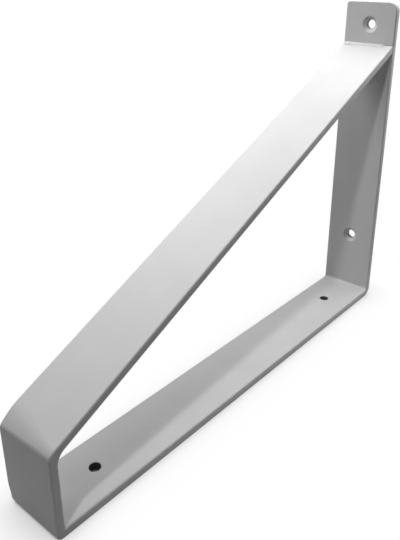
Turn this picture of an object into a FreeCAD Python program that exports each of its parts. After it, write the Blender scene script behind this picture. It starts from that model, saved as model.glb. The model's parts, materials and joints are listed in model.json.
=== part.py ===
import FreeCAD, Part
import Sketcher
import math
import os

# A steel shelf bracket: one flat bar, bent three times and closed by one weld.
# It stands on its shelf leg as in the photograph: the wall face looks along +Y, the lip is at the front,
# towards -Y, and +Z is up. The origin is the middle of the shelf leg's underside.
# Inside each sub-part, Y is counted from the wall face and Z from the underside of the shelf leg.

Vector = FreeCAD.Vector

doc = FreeCAD.newDocument("shelf_bracket")

# Driving dimensions, in millimetres and degrees
SIZES = [
    ("bar_width", 40, "width of the flat bar"),
    ("bar_thickness", 5, "thickness of the flat bar"),
    ("wall_leg_height", 233.5, "wall leg, from the underside of the shelf leg to its free end"),
    ("shelf_leg_reach", 320, "shelf leg, from the wall face to the front of the lip"),
    ("lip_height", 51, "front of the lip, from the underside to where it would meet the brace's top"),
    ("brace_below_end", 29.9, "from the wall leg's free end down to the top of the brace"),
    ("rear_bend_inside", 2, "inside radius of the bend at the wall"),
    ("front_bend_inside", 0.5, "inside radius of the tight bend under the lip"),
    ("front_bend_outside", 3.5, "outside radius of the tight bend under the lip"),
    ("upper_bend_inside", 8, "inside radius of the bend from lip to brace"),
    ("crease_below", 3.4, "crease outside that bend, below the sharp corner, at the bar's left edge"),
    ("crease_behind", 8, "how far the flat above the crease reaches along the brace's top, at the left edge"),
    ("crooked_share", 0.35, "both at the bar's right edge, as a share of the left"),
    ("crease_radius", 3.5, "rounding of the crease itself"),
    ("fade_radius_left", 36, "rounding from that flat into the brace's top, at the left edge"),
    ("fade_radius_right", 8, "rounding from that flat into the brace's top, at the right edge"),
    ("left_corner_radius", 3, "rounded left corner of the wall leg's free end"),
    ("right_corner_radius", 6.5, "rounded right corner of the wall leg's free end, ground back further"),
    ("edge_radius", 1, "rounding of the bar's long edges"),
    ("drawn_edge_radius", 3, "rounding where the tight bend draws the outer left edge in"),
    ("drawn_edge_length", 9, "length on each side of the tight bend in which that edge fades back"),
    ("screw_hole", 6.5, "diameter of every screw hole"),
    ("countersink_diameter", 11.5, "countersinks in the wall leg"),
    ("countersink_angle", 90, "angle of the countersinks"),
    ("hole_rim_chamfer", 0.3, "broken edges round the holes, on both faces of the bar"),
    ("upper_hole_below_end", 16, "upper wall hole, below the wall leg's free end"),
    ("lower_hole_height", 50, "lower wall hole, above the underside of the shelf leg"),
    ("rear_hole_from_wall", 40.5, "rear shelf hole, from the wall face"),
    ("front_hole_from_lip", 39.5, "front shelf hole, from the front of the lip"),
    ("root_gap", 0.1, "least gap between the brace's rounded end and the wall leg"),
    ("root_depth", 3, "how far the weld metal reaches down into that gap"),
    ("bead_axis_depth", 0.1, "how far the bead's axis lies inside the wall leg's face"),
    ("bead_axis_drop", 2.85, "how far the bead's axis lies below the corner that it fills"),
    ("first_ripple_radius", 3.55, "ripples of the first run of weld, about the bead's axis"),
    ("second_ripple_radius", 3.4, "ripples of the second and slimmer run"),
    ("ripple_pitch", 2.4, "from one ripple of the bead to the next"),
    ("first_ripple_place", 2.6, "from the bar's left edge to the first ripple"),
    ("second_run_start", 14, "from the bar's left edge to the first ripple of the second run"),
    ("last_ripple_margin", 8, "least distance from the last ripple to the bar's right edge"),
]

sizes = doc.addObject("Spreadsheet::Sheet", "sizes")
for row, (alias, value, note) in enumerate(SIZES, start=1):
    sizes.set("A%d" % row, alias)
    sizes.set("B%d" % row, str(value))
    sizes.set("C%d" % row, note)
    sizes.setAlias("B%d" % row, alias)
doc.recompute()


def size(alias):
    """The value of a driving dimension."""
    return float(getattr(sizes, alias))


# Helpers for bodies and sketches
START, END, MIDDLE = range(1, 4)
FLAT_AXIS, UPRIGHT_AXIS = range(-1, -3, -1)
ORIGIN = (FLAT_AXIS, START)


def make_body(label):
    """A body whose wall face comes to lie half the reach behind the origin."""
    body = doc.addObject("PartDesign::Body", label)
    body.Label = label
    body.setExpression("Placement.Base.y", "sizes.shelf_leg_reach / 2")
    return body


def make_sketch(body, role, name, offset=None, rise=None):
    """A sketch on one of the body's own planes, moved along its normal and up it by formulas."""
    sketch = body.newObject("Sketcher::SketchObject", name)
    plane = [item for item in body.Origin.OriginFeatures if item.Role == role][0]
    sketch.AttachmentSupport = [(plane, "")]
    sketch.MapMode = "FlatFace"
    if offset:
        sketch.setExpression("AttachmentOffset.Base.z", offset)
    if rise:
        sketch.setExpression("AttachmentOffset.Base.y", rise)
    return sketch


def tie(sketch, kind, *where):
    """A constraint without a size."""
    sketch.addConstraint(Sketcher.Constraint(kind, *where))


def dimension(sketch, name, formula, value, kind, *where):
    """A constraint whose size follows a formula of the sheet and starts at the value."""
    index = sketch.addConstraint(Sketcher.Constraint(kind, *where, value))
    sketch.renameConstraint(index, name)
    sketch.setExpression("Constraints." + name, formula)


def sized(sketch, alias, kind, *where, name=None):
    """A constraint whose size is one driving dimension."""
    dimension(sketch, name or alias, "sizes." + alias, size(alias), kind, *where)


def draw_outline(sketch, corners, radii):
    """Draws a closed outline through the corners, each rounded by its radius, and ties it end to end.

    It returns the number of the straight line that leaves each corner, and of the arc at each corner.
    """
    count = len(corners)
    leaving = []
    arriving = []
    arcs = []
    for i, radius in enumerate(radii):
        here = corners[i]
        back = (corners[i - 1] - here).normalize()
        ahead = (corners[(i + 1) % count] - here).normalize()
        half = back.getAngle(ahead) / 2
        reach = radius / math.tan(half)
        arriving.append(here + back * reach)
        leaving.append(here + ahead * reach)
        if radius:
            centre = here + (back + ahead).normalize() * (radius / math.sin(half))
            middle = centre + (here - centre).normalize() * radius
            arcs.append(Part.Arc(arriving[i], middle, leaving[i]))
        else:
            arcs.append(None)
    lines = []
    for i in range(count):
        line = Part.LineSegment(leaving[i], arriving[(i + 1) % count])
        lines.append(sketch.addGeometry(line, False))
    arc_numbers = []
    for i, arc in enumerate(arcs):
        before = lines[i - 1]
        after = lines[i]
        if arc is None:
            tie(sketch, "Coincident", before, END, after, START)
            arc_numbers.append(None)
            continue
        number = sketch.addGeometry(arc, False)
        arc_numbers.append(number)
        starts_here = sketch.getPoint(number, START).distanceToPoint(arriving[i]) < radii[i] / 100
        near, far = (START, END) if starts_here else (END, START)
        tie(sketch, "Tangent", before, END, number, near)
        tie(sketch, "Tangent", number, far, after, START)
    return lines, arc_numbers


# The bent bar: its side profile
# The profile is drawn once, as the closed outline of the bar seen from the side. Its corners are the sharp
# ones, in order round the outside of the triangle from the free end and back along the inside. With each
# bend go the sizes that add up to its radius. The bend at the wall has one radius inside and, one thickness
# more, outside. The tight bend is pressed sharper than that on its outside and has a radius of its own there.
# The outside of the upper bend stays a sharp corner here and is shaped further on.
width = size("bar_width")
thick = size("bar_thickness")
reach = size("shelf_leg_reach")
height = size("wall_leg_height")

lip_top = Vector(-reach, size("lip_height"), 0)
brace_meets_wall = Vector(-thick, height - size("brace_below_end"), 0)
along_brace = (brace_meets_wall - lip_top).normalize()
under_brace = Vector(along_brace.y, -along_brace.x, 0)

# The brace's end is cut upright, a little short of the wall leg. The rounding of its sloping edges runs out
# past that cut, by more the steeper the brace is, and the root gap is what is left beyond it.
gap = size("root_gap") + size("edge_radius") * along_brace.y / along_brace.x
GAP_FORMULA = (
    "sizes.root_gap + sizes.edge_radius"
    " * (sizes.wall_leg_height - sizes.brace_below_end - sizes.lip_height)"
    " / (sizes.shelf_leg_reach - sizes.bar_thickness)"
)


def on_brace(distance_from_wall, depth):
    """The point of the brace at a distance from the wall face and a depth below its top."""
    base = lip_top + under_brace * depth
    return base + along_brace * ((-distance_from_wall - base.x) / along_brace.x)


# Where the drawn-in edge of the tight bend has faded back, the outline has a corner on each side of it
faded = size("front_bend_outside") + size("drawn_edge_length")

PROFILE = [
    (Vector(0, height, 0), ()),
    (Vector(0, 0, 0), ("rear_bend_inside", "bar_thickness")),
    (Vector(faded - reach, 0, 0), ()),
    (Vector(-reach, 0, 0), ("front_bend_outside",)),
    (Vector(-reach, faded, 0), ()),
    (lip_top, ()),
    (on_brace(thick + gap, 0), ()),
    (on_brace(thick + gap, thick), ()),
    (on_brace(reach - thick, thick), ("upper_bend_inside",)),
    (Vector(thick - reach, thick, 0), ("front_bend_inside",)),
    (Vector(-thick, thick, 0), ("rear_bend_inside",)),
    (Vector(-thick, height, 0), ()),
]
(WALL_BACK, SHELF_UNDER, DRAWN_UNDER, DRAWN_FRONT, LIP_FRONT, BRACE_TOP,
 BRACE_END, BRACE_UNDER, LIP_INSIDE, SHELF_TOP, WALL_FRONT, FREE_END) = range(len(PROFILE))


def draw_side_profile(body):
    """The side profile of the whole bar, fully tied to the driving dimensions."""
    sketch = make_sketch(body, "YZ_Plane", "side_profile")
    corners = [corner for corner, addends in PROFILE]
    radii = [sum(size(alias) for alias in addends) for corner, addends in PROFILE]
    line, arc = draw_outline(sketch, corners, radii)
    for upright in (WALL_BACK, DRAWN_FRONT, LIP_FRONT, BRACE_END, LIP_INSIDE, WALL_FRONT):
        tie(sketch, "Vertical", line[upright])
    for level in (SHELF_UNDER, DRAWN_UNDER, SHELF_TOP, FREE_END):
        tie(sketch, "Horizontal", line[level])
    tie(sketch, "Parallel", line[BRACE_TOP], line[BRACE_UNDER])
    tie(sketch, "PointOnObject", line[WALL_BACK], START, UPRIGHT_AXIS)
    tie(sketch, "PointOnObject", line[SHELF_UNDER], START, FLAT_AXIS)

    # Each bend keeps its inside and outside radius
    for number, (corner, addends) in enumerate(PROFILE):
        if addends:
            formula = " + ".join("sizes." + alias for alias in addends)
            dimension(sketch, "radius_%d" % number, formula, radii[number], "Radius", arc[number])

    # The bar is equally thick in each of its four stretches
    for name, outer, inner, kind in (
        ("wall_leg_thickness", (line[WALL_FRONT], END), (line[WALL_BACK], START), "DistanceX"),
        ("shelf_leg_thickness", (line[SHELF_UNDER], START), (line[SHELF_TOP], END), "DistanceY"),
        ("lip_thickness", (line[LIP_FRONT], START), (line[LIP_INSIDE], END), "DistanceX"),
    ):
        sized(sketch, "bar_thickness", kind, *outer, *inner, name=name)
    sized(sketch, "bar_thickness", "Distance", line[BRACE_UNDER], START, line[BRACE_TOP],
          name="brace_thickness")

    # Where the edge that the tight bend draws in has faded back
    drawn_edge = "sizes.front_bend_outside + sizes.drawn_edge_length"
    dimension(sketch, "drawn_edge_under", drawn_edge, faded,
              "DistanceX", line[LIP_FRONT], START, line[DRAWN_UNDER], START)
    dimension(sketch, "drawn_edge_front", drawn_edge, faded,
              "DistanceY", *ORIGIN, line[LIP_FRONT], START)

    # How far the legs reach, and the gap at the brace's end
    sized(sketch, "wall_leg_height", "DistanceY", *ORIGIN, line[WALL_BACK], START)
    sized(sketch, "shelf_leg_reach", "DistanceX", line[LIP_FRONT], START, *ORIGIN)
    dimension(sketch, "root_gap", GAP_FORMULA, gap,
              "DistanceX", line[BRACE_END], START, line[WALL_FRONT], START)

    # Two construction points hold the brace's top: where it would meet the lip and the wall leg
    meets_lip = sketch.addGeometry(Part.Point(lip_top), True)
    tie(sketch, "PointOnObject", meets_lip, START, line[LIP_FRONT])
    tie(sketch, "PointOnObject", meets_lip, START, line[BRACE_TOP])
    sized(sketch, "lip_height", "DistanceY", *ORIGIN, meets_lip, START)
    meets_wall = sketch.addGeometry(Part.Point(brace_meets_wall), True)
    tie(sketch, "PointOnObject", meets_wall, START, line[WALL_FRONT])
    tie(sketch, "PointOnObject", meets_wall, START, line[BRACE_TOP])
    sized(sketch, "brace_below_end", "DistanceY", meets_wall, START, line[WALL_BACK], START)
    return sketch


def edges_where(feature, wanted):
    """The names of the feature's edges whose ends and middle all pass the test."""
    names = []
    for number, edge in enumerate(feature.Shape.Edges, start=1):
        if all(wanted(point) for point in edge_points(edge)):
            names.append("Edge%d" % number)
    return names


def edge_points(edge):
    """The two ends of an edge and its middle."""
    middle = edge.valueAt((edge.FirstParameter + edge.LastParameter) / 2)
    return [vertex.Point for vertex in edge.Vertexes] + [middle]


def near(first, second):
    """True where two lengths are the same but for rounding."""
    return abs(first - second) < 1e-4


blank = make_body("bar_blank")
side_profile = draw_side_profile(blank)
doc.recompute()

pad = blank.newObject("PartDesign::Pad", "flat_bar")
pad.Profile = side_profile
pad.SideType = "Symmetric"
pad.Refine = False
pad.setExpression("Length", "sizes.bar_width")
doc.recompute()


def draw_brace_top(sketch):
    """A construction line along the brace's top, from the lip's line to the wall leg's face."""
    line = sketch.addGeometry(Part.LineSegment(lip_top, brace_meets_wall), True)
    sized(sketch, "shelf_leg_reach", "DistanceX", line, START, *ORIGIN)
    sized(sketch, "lip_height", "DistanceY", *ORIGIN, line, START)
    sized(sketch, "bar_thickness", "DistanceX", line, END, *ORIGIN)
    dimension(sketch, "corner_height", "sizes.wall_leg_height - sizes.brace_below_end",
              brace_meets_wall.y, "DistanceY", *ORIGIN, line, END)
    return line


# The outside of the upper bend is crooked: flattened above a crease, more so at the left than at the right. A
# wedge that narrows from left to right is cut away there, and its two edges are rounded further on.
def draw_wedge_end(name, side, share):
    """The section of the wedge at one edge of the bar: a triangle across the sharp corner."""
    sketch = make_sketch(blank, "YZ_Plane", name, offset=side + "sizes.bar_width / 2")
    brace_top = draw_brace_top(sketch)
    below = size("crease_below") * share
    behind = size("crease_behind") * share
    beyond = size("crease_below")
    wedge_corners = [
        lip_top - Vector(0, below, 0),
        lip_top + along_brace * behind,
        lip_top + Vector(-beyond, beyond, 0),
    ]
    sides, _ = draw_outline(sketch, wedge_corners, [0, 0, 0])
    across, back, front = sides
    tie(sketch, "Vertical", across, START, brace_top, START)
    tie(sketch, "PointOnObject", across, END, brace_top)
    factor = " * sizes.crooked_share" if share < 1 else ""
    dimension(sketch, "below", "sizes.crease_below" + factor, below,
              "DistanceY", across, START, brace_top, START)
    dimension(sketch, "behind", "sizes.crease_behind" + factor, behind,
              "Distance", brace_top, START, across, END)
    for kind in ("DistanceX", "DistanceY"):
        ends = (front, START, brace_top, START)
        if kind == "DistanceY":
            ends = (brace_top, START, front, START)
        dimension(sketch, "beyond_" + kind[-1], "sizes.crease_below", beyond, kind, *ends)
    return sketch


wedge_left = draw_wedge_end("wedge_left", "-", 1)
wedge_right = draw_wedge_end("wedge_right", "", size("crooked_share"))
doc.recompute()
wedge = blank.newObject("PartDesign::SubtractiveLoft", "crooked_bend")
wedge.Profile = wedge_left
wedge.Sections = [wedge_right]
wedge.Ruled = True
wedge.Refine = False
doc.recompute()


def end_corner(point, side):
    return near(point.z, height) and near(point.x, side * width / 2)


def on_left_corner(point):
    return end_corner(point, -1)


def on_right_corner(point):
    return end_corner(point, 1)


corners = wedge
for name, wanted in (("left_corner", on_left_corner), ("right_corner", on_right_corner)):
    rounded = blank.newObject("PartDesign::Fillet", name)
    rounded.Base = (corners, edges_where(corners, wanted))
    rounded.Refine = False
    rounded.setExpression("Radius", "sizes." + name + "_radius")
    doc.recompute()
    corners = rounded


def draw_hole_places(name, role, places):
    """A sketch on the inside face of a leg, with a circle on the bar's middle line at each place."""
    sketch = make_sketch(blank, role, name, "sizes.bar_thickness")
    for label, formula, along in places:
        circle = Part.Circle(Vector(0, along, 0), Vector(0, 0, 1), size("screw_hole") / 2)
        number = sketch.addGeometry(circle, False)
        sized(sketch, "screw_hole", "Diameter", number, name=label + "_hole")
        tie(sketch, "PointOnObject", number, MIDDLE, UPRIGHT_AXIS)
        ends = (*ORIGIN, number, MIDDLE)
        if along < 0:
            ends = (number, MIDDLE, *ORIGIN)
        dimension(sketch, label + "_place", formula, abs(along), "DistanceY", *ends)
    return sketch


def drill(name, sketch):
    """A plain round hole through the bar at each circle of the sketch."""
    hole = blank.newObject("PartDesign::Hole", name)
    hole.Profile = sketch
    doc.recompute()
    hole.ThreadType = "None"
    hole.DepthType = "ThroughAll"
    hole.DrillPoint = "Flat"
    hole.Refine = False
    hole.setExpression("Diameter", "sizes.screw_hole")
    return hole


wall_places = draw_hole_places("wall_hole_places", "XZ_Plane", (
    ("upper", "sizes.wall_leg_height - sizes.upper_hole_below_end", height - size("upper_hole_below_end")),
    ("lower", "sizes.lower_hole_height", size("lower_hole_height")),
))
wall_holes = drill("wall_holes", wall_places)
wall_holes.HoleCutType = "Countersink"
wall_holes.HoleCutCustomValues = True
wall_holes.setExpression("HoleCutDiameter", "sizes.countersink_diameter")
wall_holes.setExpression("HoleCutCountersinkAngle", "sizes.countersink_angle")
doc.recompute()

shelf_places = draw_hole_places("shelf_hole_places", "XY_Plane", (
    ("rear", "sizes.rear_hole_from_wall", -size("rear_hole_from_wall")),
    ("front", "sizes.shelf_leg_reach - sizes.front_hole_from_lip", size("front_hole_from_lip") - reach),
))
shelf_holes = drill("shelf_holes", shelf_places)
doc.recompute()


def edge_rounding(point):
    """The rounding of a long edge at a point, fuller where the tight bend draws the outer left edge in."""
    plain = size("edge_radius")
    along = 0
    if point.x > 0:
        return plain
    if near(point.y, -reach):
        along = point.z
    elif near(point.z, 0):
        along = point.y + reach
    else:
        return plain
    if along > faded:
        return plain
    share = round((faded - along) / size("drawn_edge_length"), 6)
    return plain + (size("drawn_edge_radius") - plain) * min(share, 1)


def on_long_edge(point):
    return near(abs(point.x), width / 2)


def on_free_end(point):
    on_a_face = near(point.y, 0) or near(point.y, -thick)
    radius = size("left_corner_radius" if point.x < 0 else "right_corner_radius")
    return on_a_face and point.z > height - radius - size("edge_radius")


def on_corner_seam(point):
    radius = size("left_corner_radius" if point.x < 0 else "right_corner_radius")
    return near(point.z, height - radius)


def on_brace_end(point):
    return near(point.y, -thick - gap) and point.z > thick


def on_leg_face(point):
    return near(point.y, 0) or near(point.y, -thick) or near(point.z, 0) or near(point.z, thick)


def numbered_edges(shape):
    """The number of each edge, whether it is a whole circle, and its points counted from the wall face."""
    for number, edge in enumerate(shape.Edges, start=1):
        whole_circle = isinstance(edge.Curve, Part.Circle) and edge.isClosed()
        yield number, whole_circle, [point - blank.Placement.Base for point in edge_points(edge)]


def broken_rims(shape):
    """The rims of the holes on the bar's faces, by number, with their chamfer on both sides."""
    chamfer = size("hole_rim_chamfer")
    return [
        (number, chamfer, chamfer)
        for number, whole_circle, points in numbered_edges(shape)
        if whole_circle and all(map(on_leg_face, points))
    ]


def roundings(shape):
    """Every rounded edge of the bar, by number, with its radius at each end."""
    rounded = []
    for number, whole_circle, points in numbered_edges(shape):
        if whole_circle or all(map(on_brace_end, points)) or all(map(on_corner_seam, points)):
            continue
        if all(map(on_long_edge, points)) or all(map(on_free_end, points)):
            start, end, middle = points
            rounded.append((number, edge_rounding(start), edge_rounding(end)))
    return rounded


def across_the_bend(point):
    """How far a point lies from the crease, along the lip and along the brace."""
    share = (width / 2 - point.x) / width
    left_share = size("crooked_share") + (1 - size("crooked_share")) * share
    on_crease = lip_top - Vector(0, size("crease_below") * left_share, 0)
    on_fade = lip_top + along_brace * (size("crease_behind") * left_share)
    flat = Vector(point.y, point.z, 0)
    return flat.distanceToPoint(on_crease), flat.distanceToPoint(on_fade)


def bend_roundings(shape):
    """The two edges that the wedge leaves, by number, with their radius at each end."""
    rounded = []
    for number, whole_circle, points in numbered_edges(shape):
        if all(near(across_the_bend(point)[0], 0) for point in points):
            rounded.append((number, size("crease_radius"), size("crease_radius")))
        if all(near(across_the_bend(point)[1], 0) for point in points):
            radii = [size("fade_radius_left" if point.x < 0 else "fade_radius_right") for point in points]
            rounded.append((number, radii[0], radii[1]))
    return rounded


bend = doc.addObject("Part::Fillet", "upper_bend")
bend.Base = blank
bend.Edges = bend_roundings(blank.Shape)
doc.recompute()

broken = doc.addObject("Part::Chamfer", "hole_rims")
broken.Base = bend
broken.Edges = broken_rims(bend.Shape)
doc.recompute()

bent_bar = doc.addObject("Part::Fillet", "bent_bar")
bent_bar.Label = "bent_bar"
bent_bar.Base = broken
bent_bar.Edges = roundings(broken.Shape)
doc.recompute()


# The weld bead
# It lies in the corner between the wall leg and the brace's top. Each ripple is a ball of weld metal on one
# axis, a little inside the corner. The bar's two faces cut the row of ripples flat, and a thin root of weld
# metal reaches down from it into the gap behind the brace's end.
bead = make_body("weld_bead")


def lay_run(name, radius_alias, start, start_formula, count_formula):
    """A run of ripples along the bead's axis. The sketch's own level axis is the bead's axis."""
    sketch = make_sketch(
        bead, "XZ_Plane", name + "_section",
        offset="sizes.bar_thickness - sizes.bead_axis_depth",
        rise="sizes.wall_leg_height - sizes.brace_below_end - sizes.bead_axis_drop",
    )
    radius = size(radius_alias)
    left = Vector(start - radius, 0, 0)
    right = Vector(start + radius, 0, 0)
    arc = sketch.addGeometry(Part.Arc(right, Vector(start, radius, 0), left), False)
    line = sketch.addGeometry(Part.LineSegment(left, right), False)
    tie(sketch, "Coincident", arc, END, line, START)
    tie(sketch, "Coincident", arc, START, line, END)
    tie(sketch, "PointOnObject", line, START, FLAT_AXIS)
    tie(sketch, "PointOnObject", line, END, FLAT_AXIS)
    tie(sketch, "PointOnObject", arc, MIDDLE, FLAT_AXIS)
    sized(sketch, radius_alias, "Radius", arc)
    dimension(sketch, name + "_start", start_formula, -start, "DistanceX", arc, MIDDLE, *ORIGIN)

    ripple = bead.newObject("PartDesign::Revolution", name + "_ripple")
    ripple.Profile = sketch
    ripple.ReferenceAxis = (sketch, ["H_Axis"])
    ripple.Angle = 360
    ripple.Refine = False
    doc.recompute()

    run = bead.newObject("PartDesign::LinearPattern", name)
    run.Originals = [ripple]
    run.Direction = (sketch, ["H_Axis"])
    run.Mode = "Spacing"
    run.setExpression("Offset", "sizes.ripple_pitch")
    run.setExpression("Occurrences", count_formula)
    bead.Tip = run
    doc.recompute()


lay_run(
    "first_run", "first_ripple_radius", size("first_ripple_place") - width / 2,
    "sizes.bar_width / 2 - sizes.first_ripple_place",
    "floor((sizes.second_run_start - sizes.first_ripple_place) / sizes.ripple_pitch) + 1",
)
lay_run(
    "second_run", "second_ripple_radius", size("second_run_start") - width / 2,
    "sizes.bar_width / 2 - sizes.second_run_start",
    "floor((sizes.bar_width - sizes.second_run_start - sizes.last_ripple_margin) / sizes.ripple_pitch) + 1",
)


# What lies inside the bar is cut away: everything behind the wall leg's face and under the brace's top.
# The cut reaches well past the largest ripple on every side.
seat = make_sketch(bead, "YZ_Plane", "seat")
brace_top = draw_brace_top(seat)
clear = 5 * size("first_ripple_radius")
foot = brace_meets_wall - along_brace * clear
seat_corners = [
    brace_meets_wall,
    foot,
    Vector(clear - thick, foot.y, 0),
    Vector(clear - thick, brace_meets_wall.y + clear, 0),
    Vector(-thick, brace_meets_wall.y + clear, 0),
]
sides, _ = draw_outline(seat, seat_corners, [0] * len(seat_corners))
along_top, under, behind, over, face = sides
tie(seat, "Coincident", along_top, START, brace_top, END)
tie(seat, "PointOnObject", along_top, END, brace_top)
for level in (under, over):
    tie(seat, "Horizontal", level)
for upright in (behind, face):
    tie(seat, "Vertical", upright)
for name, kind, ends in (
    ("clear_along", "Distance", (along_top, START, along_top, END)),
    ("clear_behind", "DistanceX", (face, END, behind, START)),
    ("clear_above", "DistanceY", (face, END, face, START)),
):
    dimension(seat, name, "5 * sizes.first_ripple_radius", clear, kind, *ends)

seated = bead.newObject("PartDesign::Pocket", "seated_on_bar")
seated.Profile = seat
seated.SideType = "Symmetric"
seated.Refine = False
seated.setExpression("Length", "2 * sizes.bar_width")
doc.recompute()

# The root of the weld fills the top of the gap
root_sketch = make_sketch(
    bead, "YZ_Plane", "root_section",
    offset="sizes.first_ripple_place - sizes.bar_width / 2",
)
brace_top = draw_brace_top(root_sketch)
root_bottom = brace_meets_wall.y - size("root_depth")
root_corners = [
    brace_meets_wall,
    on_brace(thick + gap, 0),
    Vector(-thick - gap, root_bottom, 0),
    Vector(-thick, root_bottom, 0),
]
sides, _ = draw_outline(root_sketch, root_corners, [0] * len(root_corners))
on_top, at_brace, at_bottom, at_wall = sides
tie(root_sketch, "Coincident", on_top, START, brace_top, END)
tie(root_sketch, "PointOnObject", on_top, END, brace_top)
tie(root_sketch, "Vertical", at_brace)
tie(root_sketch, "Vertical", at_wall)
tie(root_sketch, "Horizontal", at_bottom)
dimension(root_sketch, "root_gap", GAP_FORMULA, gap, "DistanceX", at_bottom, START, at_bottom, END)
sized(root_sketch, "root_depth", "DistanceY", at_wall, START, at_wall, END)

root = bead.newObject("PartDesign::Pad", "root")
root.Profile = root_sketch
root.Refine = False
root.setExpression("Length", "sizes.bar_width - sizes.first_ripple_place - sizes.last_ripple_margin")
doc.recompute()

# Every object is sound before anything is written
for item in doc.Objects:
    if "Invalid" in item.State or "Error" in item.State:
        raise RuntimeError("%s failed: %s" % (item.Label, item.State))

os.makedirs("parts", exist_ok=True)
for part in (bent_bar, bead):
    shape = part.Shape
    if shape.isNull() or not shape.isValid() or len(shape.Solids) != 1:
        raise RuntimeError("%s is not one sound solid" % part.Label)
    shape.exportStep("parts/%s.step" % part.Label)
    print("%s: %.0f cubic mm, %d faces" % (part.Label, shape.Volume, len(shape.Faces)))
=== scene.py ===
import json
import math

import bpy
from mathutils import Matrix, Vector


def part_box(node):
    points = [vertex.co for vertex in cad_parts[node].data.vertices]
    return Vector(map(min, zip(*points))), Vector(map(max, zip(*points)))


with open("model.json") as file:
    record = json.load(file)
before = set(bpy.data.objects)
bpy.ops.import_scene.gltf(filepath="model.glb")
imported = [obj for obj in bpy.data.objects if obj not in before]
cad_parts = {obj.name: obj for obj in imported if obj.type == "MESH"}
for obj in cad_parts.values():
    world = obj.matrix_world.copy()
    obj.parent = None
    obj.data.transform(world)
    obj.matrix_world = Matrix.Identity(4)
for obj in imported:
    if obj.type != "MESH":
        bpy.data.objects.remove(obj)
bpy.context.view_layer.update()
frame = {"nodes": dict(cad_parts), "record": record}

# %% [markdown]
# A shelf bracket, dressed for its picture
#
# The real bracket is one flat steel bar, bent into a triangle and closed by a short weld, then coated with
# powder. Its solids were drawn beforehand and arrive here as a fixed frame: nothing in this lesson moves or
# resizes them. What is left for Blender is what a drawing can't say: how the coat takes the light, how dark
# a screw hole looks inside, and the floor, lamps and camera of a plain product picture.

MM = 0.001
bar = frame["nodes"]["bent_bar"]
bead = frame["nodes"]["weld_bead"]
bar_low, bar_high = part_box("bent_bar")
bar_size = (bar_high - bar_low) / MM
print("The bent bar is %.0f mm wide, %.0f mm deep and %.0f mm high" % tuple(bar_size))

# %% [markdown]
# Where the screw holes are
#
# The bores of the four screw holes are darkened in the coat's colour, as painted shade for the shadow
# that fills them, while their rims and countersinks keep the light coat. The material has to know where
# the bores are. They could be painted by hand on each face, but the record already says where the screws
# go, so the places are worked out from there.

# %% Where the screw holes are
def screw_holes():
    """For each screw hole the middle of its mouth on the bar's outer face, its axis and its radius."""
    found = []
    for mount in frame["record"]["mounts"]:
        if mount["kind"] != "bolt_pattern":
            continue
        middle, axis = Vector(mount["pos_m"]), Vector(mount["axis"])
        apart = axis.cross(Vector((1, 0, 0))) * mount["dims"]["spacing_y_mm"] * MM
        for place in (middle - apart / 2, middle + apart / 2):
            found.append((place, axis, mount["dims"]["hole_r_mm"] * MM))
    return found


holes = screw_holes()
for place, axis, radius in holes:
    print("A %.1f mm screw hole at (%.1f, %.1f, %.1f) mm" % (2 * radius / MM, *(place / MM)))

# %% [markdown]
# Helpers for a material's nodes
#
# A procedural material is a small circuit of nodes. It could be wired by hand in the shader editor. Four
# short helpers do the same here: one adds a node and sets it up, one puts two values through an operation,
# one does the same with a vector, and one turns a range of values into another.

# %% Helpers for a material's nodes
def add_node(tree, kind, **inputs):
    """Adds a node and sets the inputs that are named, with underscores for spaces."""
    node = tree.nodes.new("ShaderNode" + kind)
    for name, value in inputs.items():
        node.inputs[name.replace("_", " ")].default_value = value
    return node


def combined(tree, operation, first, second):
    """Two values put through one operation, such as MULTIPLY."""
    node = add_node(tree, "Math")
    node.operation = operation
    tree.links.new(first, node.inputs[0])
    tree.links.new(second, node.inputs[1])
    return node.outputs["Value"]


def vector_step(tree, operation, vector, fixed=(0, 0, 0)):
    """A vector put through one operation, such as SUBTRACT, with a fixed vector, or its LENGTH."""
    node = add_node(tree, "VectorMath")
    node.operation = operation
    tree.links.new(vector, node.inputs[0])
    node.inputs[1].default_value = fixed
    return node.outputs["Value" if operation == "LENGTH" else "Vector"]


def mapped(tree, value, start, end, first, last, curve="LINEAR"):
    """The value first up to start, last from end on, and a ramp between them."""
    node = add_node(tree, "MapRange", From_Min=start, From_Max=end, To_Min=first, To_Max=last)
    node.interpolation_type = curve
    tree.links.new(value, node.inputs["Value"])
    return node.outputs["Result"]


# %% [markdown]
# A mask for the painted shade in the bores
#
# A point lies in a bore when it is near the hole's mouth. Distance from the mouth's middle alone would give
# a ball, too short to reach through the bar. Counting a step along the hole's axis as only a fifth of a
# step stretches the ball into a long egg, which holds the whole bore. The nearest of the four eggs decides,
# and as the holes have one radius between them, the last one's serves for all.

# %% A mask for the painted shade in the bores
ALONG_THE_AXIS = 0.2
# How far outside the bore's radius the painted shade fades out.
BORE_SHADE_FADE = (0.2 * MM, 0.3 * MM)


def painted_bore_shade(tree, place, deep, shallow):
    """The painted shade's mask: deep in the bores and shallow elsewhere, with a soft step between."""
    nearest = None
    for middle, axis, radius in holes:
        stretch = [1 - (1 - ALONG_THE_AXIS) * abs(part) for part in axis]
        offset = vector_step(tree, "SUBTRACT", place, middle)
        away = vector_step(tree, "LENGTH", vector_step(tree, "MULTIPLY", offset, stretch))
        nearest = away if nearest is None else combined(tree, "MINIMUM", nearest, away)
    edge = [radius + distance for distance in BORE_SHADE_FADE]
    return mapped(tree, nearest, *edge, deep, shallow)


# %% [markdown]
# Noise at a real size
#
# No coat is quite even, and noise is the usual way to say so. Its scale could be set by eye, but then it
# would mean nothing in millimetres. So one helper makes noise whose grains have a real width. Noise keeps
# near its middle, and a second helper spreads it over the band of values that a finish asks for.

# %% Noise at a real size
NOISE_SPAN = (0.3, 0.7)


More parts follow.
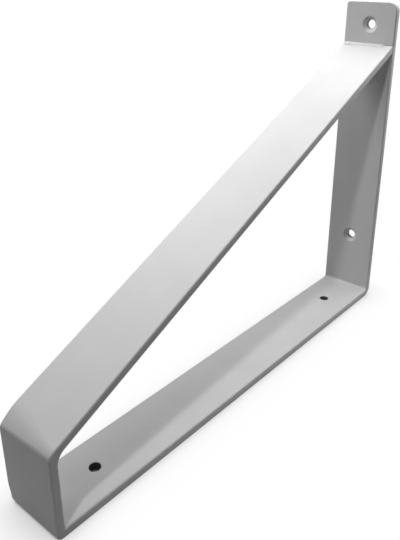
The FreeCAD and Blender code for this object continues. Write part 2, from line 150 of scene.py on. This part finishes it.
def grain(tree, place, size, detail):
    """Noise from 0 to 1 whose grains are about as wide as size, in metres."""
    node = add_node(tree, "TexNoise", Scale=1 / size, Detail=detail)
    tree.links.new(place, node.inputs["Vector"])
    return node.outputs["Fac"]


def band(tree, noise, low, high):
    """Noise, which keeps mostly within NOISE_SPAN, spread over the values from low to high."""
    return mapped(tree, noise, *NOISE_SPAN, low, high)


# %% [markdown]
# Powder coat
#
# The bar is sprayed with dry powder and baked, so steel and weld wear one even skin of light grey. A flat
# colour with a smooth shine would look like plastic. Real powder coat has three signs: an orange peel,
# where the melted powder flowed into low waves about 2 mm apart; a satin gloss that changes a little from
# place to place; and a tone that is almost, but not quite, the same all over, with a dark speck of dust
# baked in here and there. The waves are too low to model, so they are bump. Gloss and tone are gentle noise
# on roughness and colour, and the specks are the few points of a Voronoi pattern that happen to lie on the
# surface. Inside the screw holes the tone is darkened further, as painted shade.

# %% Powder coat
COAT_GREY = 0.6
TONE_CHANGE = 0.015
TONE_WIDTH = 35 * MM
# What is left of the coat's grey in the bores: painted shade for the dark inside of the screw holes.
BORE_PAINTED_SHADE = 0.2
SPECKS_APART = 18 * MM
SPECK_RADIUS = 0.5 * MM
SPECK_SHARE = 0.7
GLOSS = (0.42, 0.48)
GLOSS_WIDTH = 12 * MM
SHINE = 0.15
PEEL_WIDTH = 1.8 * MM
PEEL_HEIGHT = 0.02 * MM


def dust_specks(tree, place):
    """The speck's share of the tone at the few points of a pattern that lie on the surface, elsewhere 1."""
    pattern = add_node(tree, "TexVoronoi", Scale=1 / SPECKS_APART)
    tree.links.new(place, pattern.inputs["Vector"])
    edge = SPECK_RADIUS / SPECKS_APART
    return mapped(tree, pattern.outputs["Distance"], edge / 2, edge, SPECK_SHARE, 1)


def coat_tone(tree, place):
    """The coat's grey from place to place: nearly even, darker in dust specks, and much darker in the bores
    as painted shade.
    """
    noise = grain(tree, place, TONE_WIDTH, detail=2)
    even = band(tree, noise, COAT_GREY - TONE_CHANGE, COAT_GREY + TONE_CHANGE)
    specked = combined(tree, "MULTIPLY", even, dust_specks(tree, place))
    # The darkening in the bores is painted shade.
    return combined(tree, "MULTIPLY", specked, painted_bore_shade(tree, place, deep=BORE_PAINTED_SHADE, shallow=1))


def powder_coat():
    """Light grey powder coat: satin, with an orange peel."""
    material = bpy.data.materials.new("powder_coat")
    material.use_nodes = True
    tree = material.node_tree
    shader = tree.nodes["Principled BSDF"]
    shader.inputs["Specular IOR Level"].default_value = SHINE
    place = add_node(tree, "TexCoord").outputs["Object"]
    tone = coat_tone(tree, place)
    colour = add_node(tree, "CombineColor")
    for channel in ("Red", "Green", "Blue"):
        tree.links.new(tone, colour.inputs[channel])
    tree.links.new(colour.outputs["Color"], shader.inputs["Base Color"])
    gloss = band(tree, grain(tree, place, GLOSS_WIDTH, detail=3), *GLOSS)
    tree.links.new(gloss, shader.inputs["Roughness"])
    peel = add_node(tree, "Bump", Strength=1.0, Distance=PEEL_HEIGHT)
    tree.links.new(grain(tree, place, PEEL_WIDTH, detail=1), peel.inputs["Height"])
    tree.links.new(peel.outputs["Normal"], shader.inputs["Normal"])
    print("Powder coat: grey %.2f, roughness %.2f to %.2f" % (COAT_GREY, *GLOSS))
    return material


coat = powder_coat()
for node in (bar, bead):
    node.data.materials.clear()
    node.data.materials.append(coat)

# %% [markdown]
# A floor that looks white
#
# A product picture stands its object on a sweep of white paper that runs out of sight. White could be had
# with more light, but that would bleach the bracket too. So the lamps stay plain, and the floor shines
# white only for rays that come from the camera or from a reflection. Light Path tells those rays apart.
# Near the bar, and down in the screw holes, the plain lit floor comes through instead, so the bracket keeps
# a soft shadow to stand on.

# %% A floor that looks white
WHITE = (1, 1, 1, 1)
SHADOW_REACH = 25 * MM
IN_A_HOLE = 0.25
AT_THE_FOOT = 0.5
FOOT_SHARE = 0.6


def seen_directly(tree):
    """1 for rays from the camera, from a reflection or through glass, otherwise 0."""
    path = add_node(tree, "LightPath").outputs
    camera_or_gloss = combined(tree, "MAXIMUM", path["Is Camera Ray"], path["Is Glossy Ray"])
    return combined(tree, "MAXIMUM", camera_or_gloss, path["Is Transmission Ray"])


def openness(tree):
    """0 down in a hole, FOOT_SHARE where the floor meets the bar and 1 on the open floor."""
    corners = add_node(tree, "AmbientOcclusion", Distance=SHADOW_REACH)
    ramp = add_node(tree, "ValToRGB")
    stops = ramp.color_ramp.elements
    stops[0].position, stops[1].position = IN_A_HOLE, 1.0
    stops.new(AT_THE_FOOT)
    for stop, share in zip(stops, (0, FOOT_SHARE, 1)):
        stop.color = (share, share, share, 1)
    tree.links.new(corners.outputs["AO"], ramp.inputs["Fac"])
    return ramp.outputs["Color"]


# %% [markdown]
# The floor's own grey
#
# The plain floor has one more task: it throws light up at the bracket. The bar's narrow sides tell how.
# They are lighter near the floor than a few centimetres above it, so that light comes from a pale patch
# close around the bracket, and not from a wide white floor, which would light them the same at any height.
# So the paper's own grey is pale at the bracket and fades to dark within 0.3 m of its middle.
#
# The white that only the camera sees lights nothing, and the renderer is told not to search it for light.
# With the search left on, most of its samples would be spent there and the grey faces would come out
# grainy.

# %% The floor's own grey
FLOOR_HALF = 4.0
NEAR_GREY = 0.45
FAR_GREY = 0.1
FADE = (0.1, 0.3)


def plain_grey(tree):
    """The paper's own grey: pale around the bracket and darker further out."""
    away = vector_step(tree, "LENGTH", add_node(tree, "TexCoord").outputs["Object"])
    return mapped(tree, away, *FADE, NEAR_GREY, FAR_GREY, "SMOOTHSTEP")


def paper():
    """Pale paper that looks white except in the bracket's shadow."""
    material = bpy.data.materials.new("floor_paper")
    material.use_nodes = True
    tree = material.node_tree
    tree.nodes.clear()
    lit = add_node(tree, "BsdfDiffuse")
    tree.links.new(plain_grey(tree), lit.inputs["Color"])
    white = add_node(tree, "Emission", Color=WHITE, Strength=1.0)
    mix = add_node(tree, "MixShader")
    white_share = combined(tree, "MULTIPLY", seen_directly(tree), openness(tree))
    tree.links.new(white_share, mix.inputs["Fac"])
    tree.links.new(lit.outputs["BSDF"], mix.inputs[1])
    tree.links.new(white.outputs["Emission"], mix.inputs[2])
    out = add_node(tree, "OutputMaterial")
    tree.links.new(mix.outputs["Shader"], out.inputs["Surface"])
    material.cycles.emission_sampling = "NONE"
    return material


def floor_sheet():
    """One large square at the height that the bracket rests on."""
    corners = [(x * FLOOR_HALF, y * FLOOR_HALF, 0) for x, y in ((-1, -1), (1, -1), (1, 1), (-1, 1))]
    mesh = bpy.data.meshes.new("floor")
    mesh.from_pydata(corners, [], [(0, 1, 2, 3)])
    mesh.materials.append(paper())
    floor = bpy.data.objects.new("floor", mesh)
    bpy.context.scene.collection.objects.link(floor)


floor_sheet()
print("The floor is %.0f m square and %.2f grey near the bracket" % (2 * FLOOR_HALF, NEAR_GREY))

# %% [markdown]
# Backdrop
#
# Beyond the floor's edge there is only the world's background. It is made white in the same way, so floor
# and backdrop meet without a line, and it lights nothing either.

# %% Backdrop
world = bpy.data.worlds.new("world")
bpy.context.scene.world = world
world.use_nodes = True
world.cycles.sampling_method = "NONE"
backdrop = world.node_tree.nodes["Background"]
backdrop.inputs["Color"].default_value = WHITE
world.node_tree.links.new(seen_directly(world.node_tree), backdrop.inputs["Strength"])
print("The backdrop is white for the camera and dark for the lit faces")

# %% [markdown]
# Lamps
#
# Each lamp is a plain square of soft light, and the bracket itself says where they hang. A fan-shaped strip
# of light lies along the shelf leg, beside the shadow of the brace. Only a small lamp draws a shadow with
# so clear an edge, and a few points on that edge put the lamp high in front, about 62 degrees over the
# floor. The brace grows steadily brighter towards the wall leg. A lamp two metres away can't do that, for
# its light hardly changes over the bracket's length, but lamps half a metre away can, so three more hang
# close by, two above the bracket and one to its left. The last one stands low behind the bracket on the
# right: it lightens the narrow side of the bar towards the wall leg, and keeps the back from going dark.
# A single large lamp would be simpler, but it would wash the strip away and light every part of the brace
# alike.
#
# Their powers are low, eleven watts for the far lamp and less than two for each near one, because nearness
# counts for so much. They are set so that the brightest end of the brace only just reaches white.

# %% Lamps
LAMPS = {
    "front": ((0.35, -0.87, 1.87), 0.12, 11.4),
    "left": ((-0.3, 0, 0.45), 0.25, 1.42),
    "above": ((0, 0.1, 0.6), 0.25, 0.6),
    "above_wall_end": ((0, 0.25, 0.45), 0.25, 0.98),
    "low_back": ((0.2, 0.5, 0.15), 0.25, 0.45),
}
LAMP_AIM = Vector((0, 0, 0.1))


def aimed_from(place, target):
    """The turn that points a lamp or a camera from its place at a target."""
    return (target - Vector(place)).to_track_quat("-Z", "Y")


def lamp(name, place, side, power):
    """A square lamp that faces the middle of the bracket: place and side in metres, power in watts."""
    data = bpy.data.lights.new(name, "AREA")
    data.shape = "SQUARE"
    data.size = side
    data.energy = power
    item = bpy.data.objects.new(name, data)
    item.location = place
    item.rotation_euler = aimed_from(place, LAMP_AIM).to_euler()
    bpy.context.scene.collection.objects.link(item)
    return item


for name, (place, side, power) in LAMPS.items():
    item = lamp(name, place, side, power)
    distance = (LAMP_AIM - item.location).length
    print("Lamp %s: %.1f W, %.2f m from the bracket" % (name, power, distance))

# %% [markdown]
# Camera
#
# The picture is to show the bracket as the photo does, so the camera goes where the photo's camera was. The
# bar gives it away: its edges are straight and parallel, and its width, taken as 40 mm, stays the same. So
# the way the edges draw together in the picture tells how the camera was turned, and the width tells how
# near it was. It was near, a little over a third of a metre, which is why the front bend looks so much
# bigger than the wall end. It was also held half a degree out of level. The place could be found by trial,
# turning the view until it looks alike, but near the object every millimetre shows, and working it out is
# quicker. The lens is shifted a little, as the photo seems to be cropped off centre. Colours are to come
# out as they are written, which is what the Standard view transform does.

# %% Camera
CAMERA_PLACE = Vector((0.2133, -0.2774, 0.2539))
LOOKS_AT = Vector((0, -0.0162, 0.1183))
ROLL = math.radians(0.53)
LENS = 41.0
SHIFT = (-0.0369, -0.0990)
NEAREST_SEEN = 0.01

camera_data = bpy.data.cameras.new("camera")
camera_data.lens = LENS
camera_data.shift_x, camera_data.shift_y = SHIFT
camera_data.clip_start = NEAREST_SEEN
camera = bpy.data.objects.new("camera", camera_data)
bpy.context.scene.collection.objects.link(camera)
turn = aimed_from(CAMERA_PLACE, LOOKS_AT).to_matrix().to_4x4()
camera.matrix_world = Matrix.Translation(CAMERA_PLACE) @ turn @ Matrix.Rotation(ROLL, 4, "Z")
bpy.context.scene.camera = camera
bpy.context.scene.view_settings.view_transform = "Standard"
distance = (LOOKS_AT - CAMERA_PLACE).length
print("The camera stands %.2f m from the bracket, with a %.0f mm lens" % (distance, LENS))
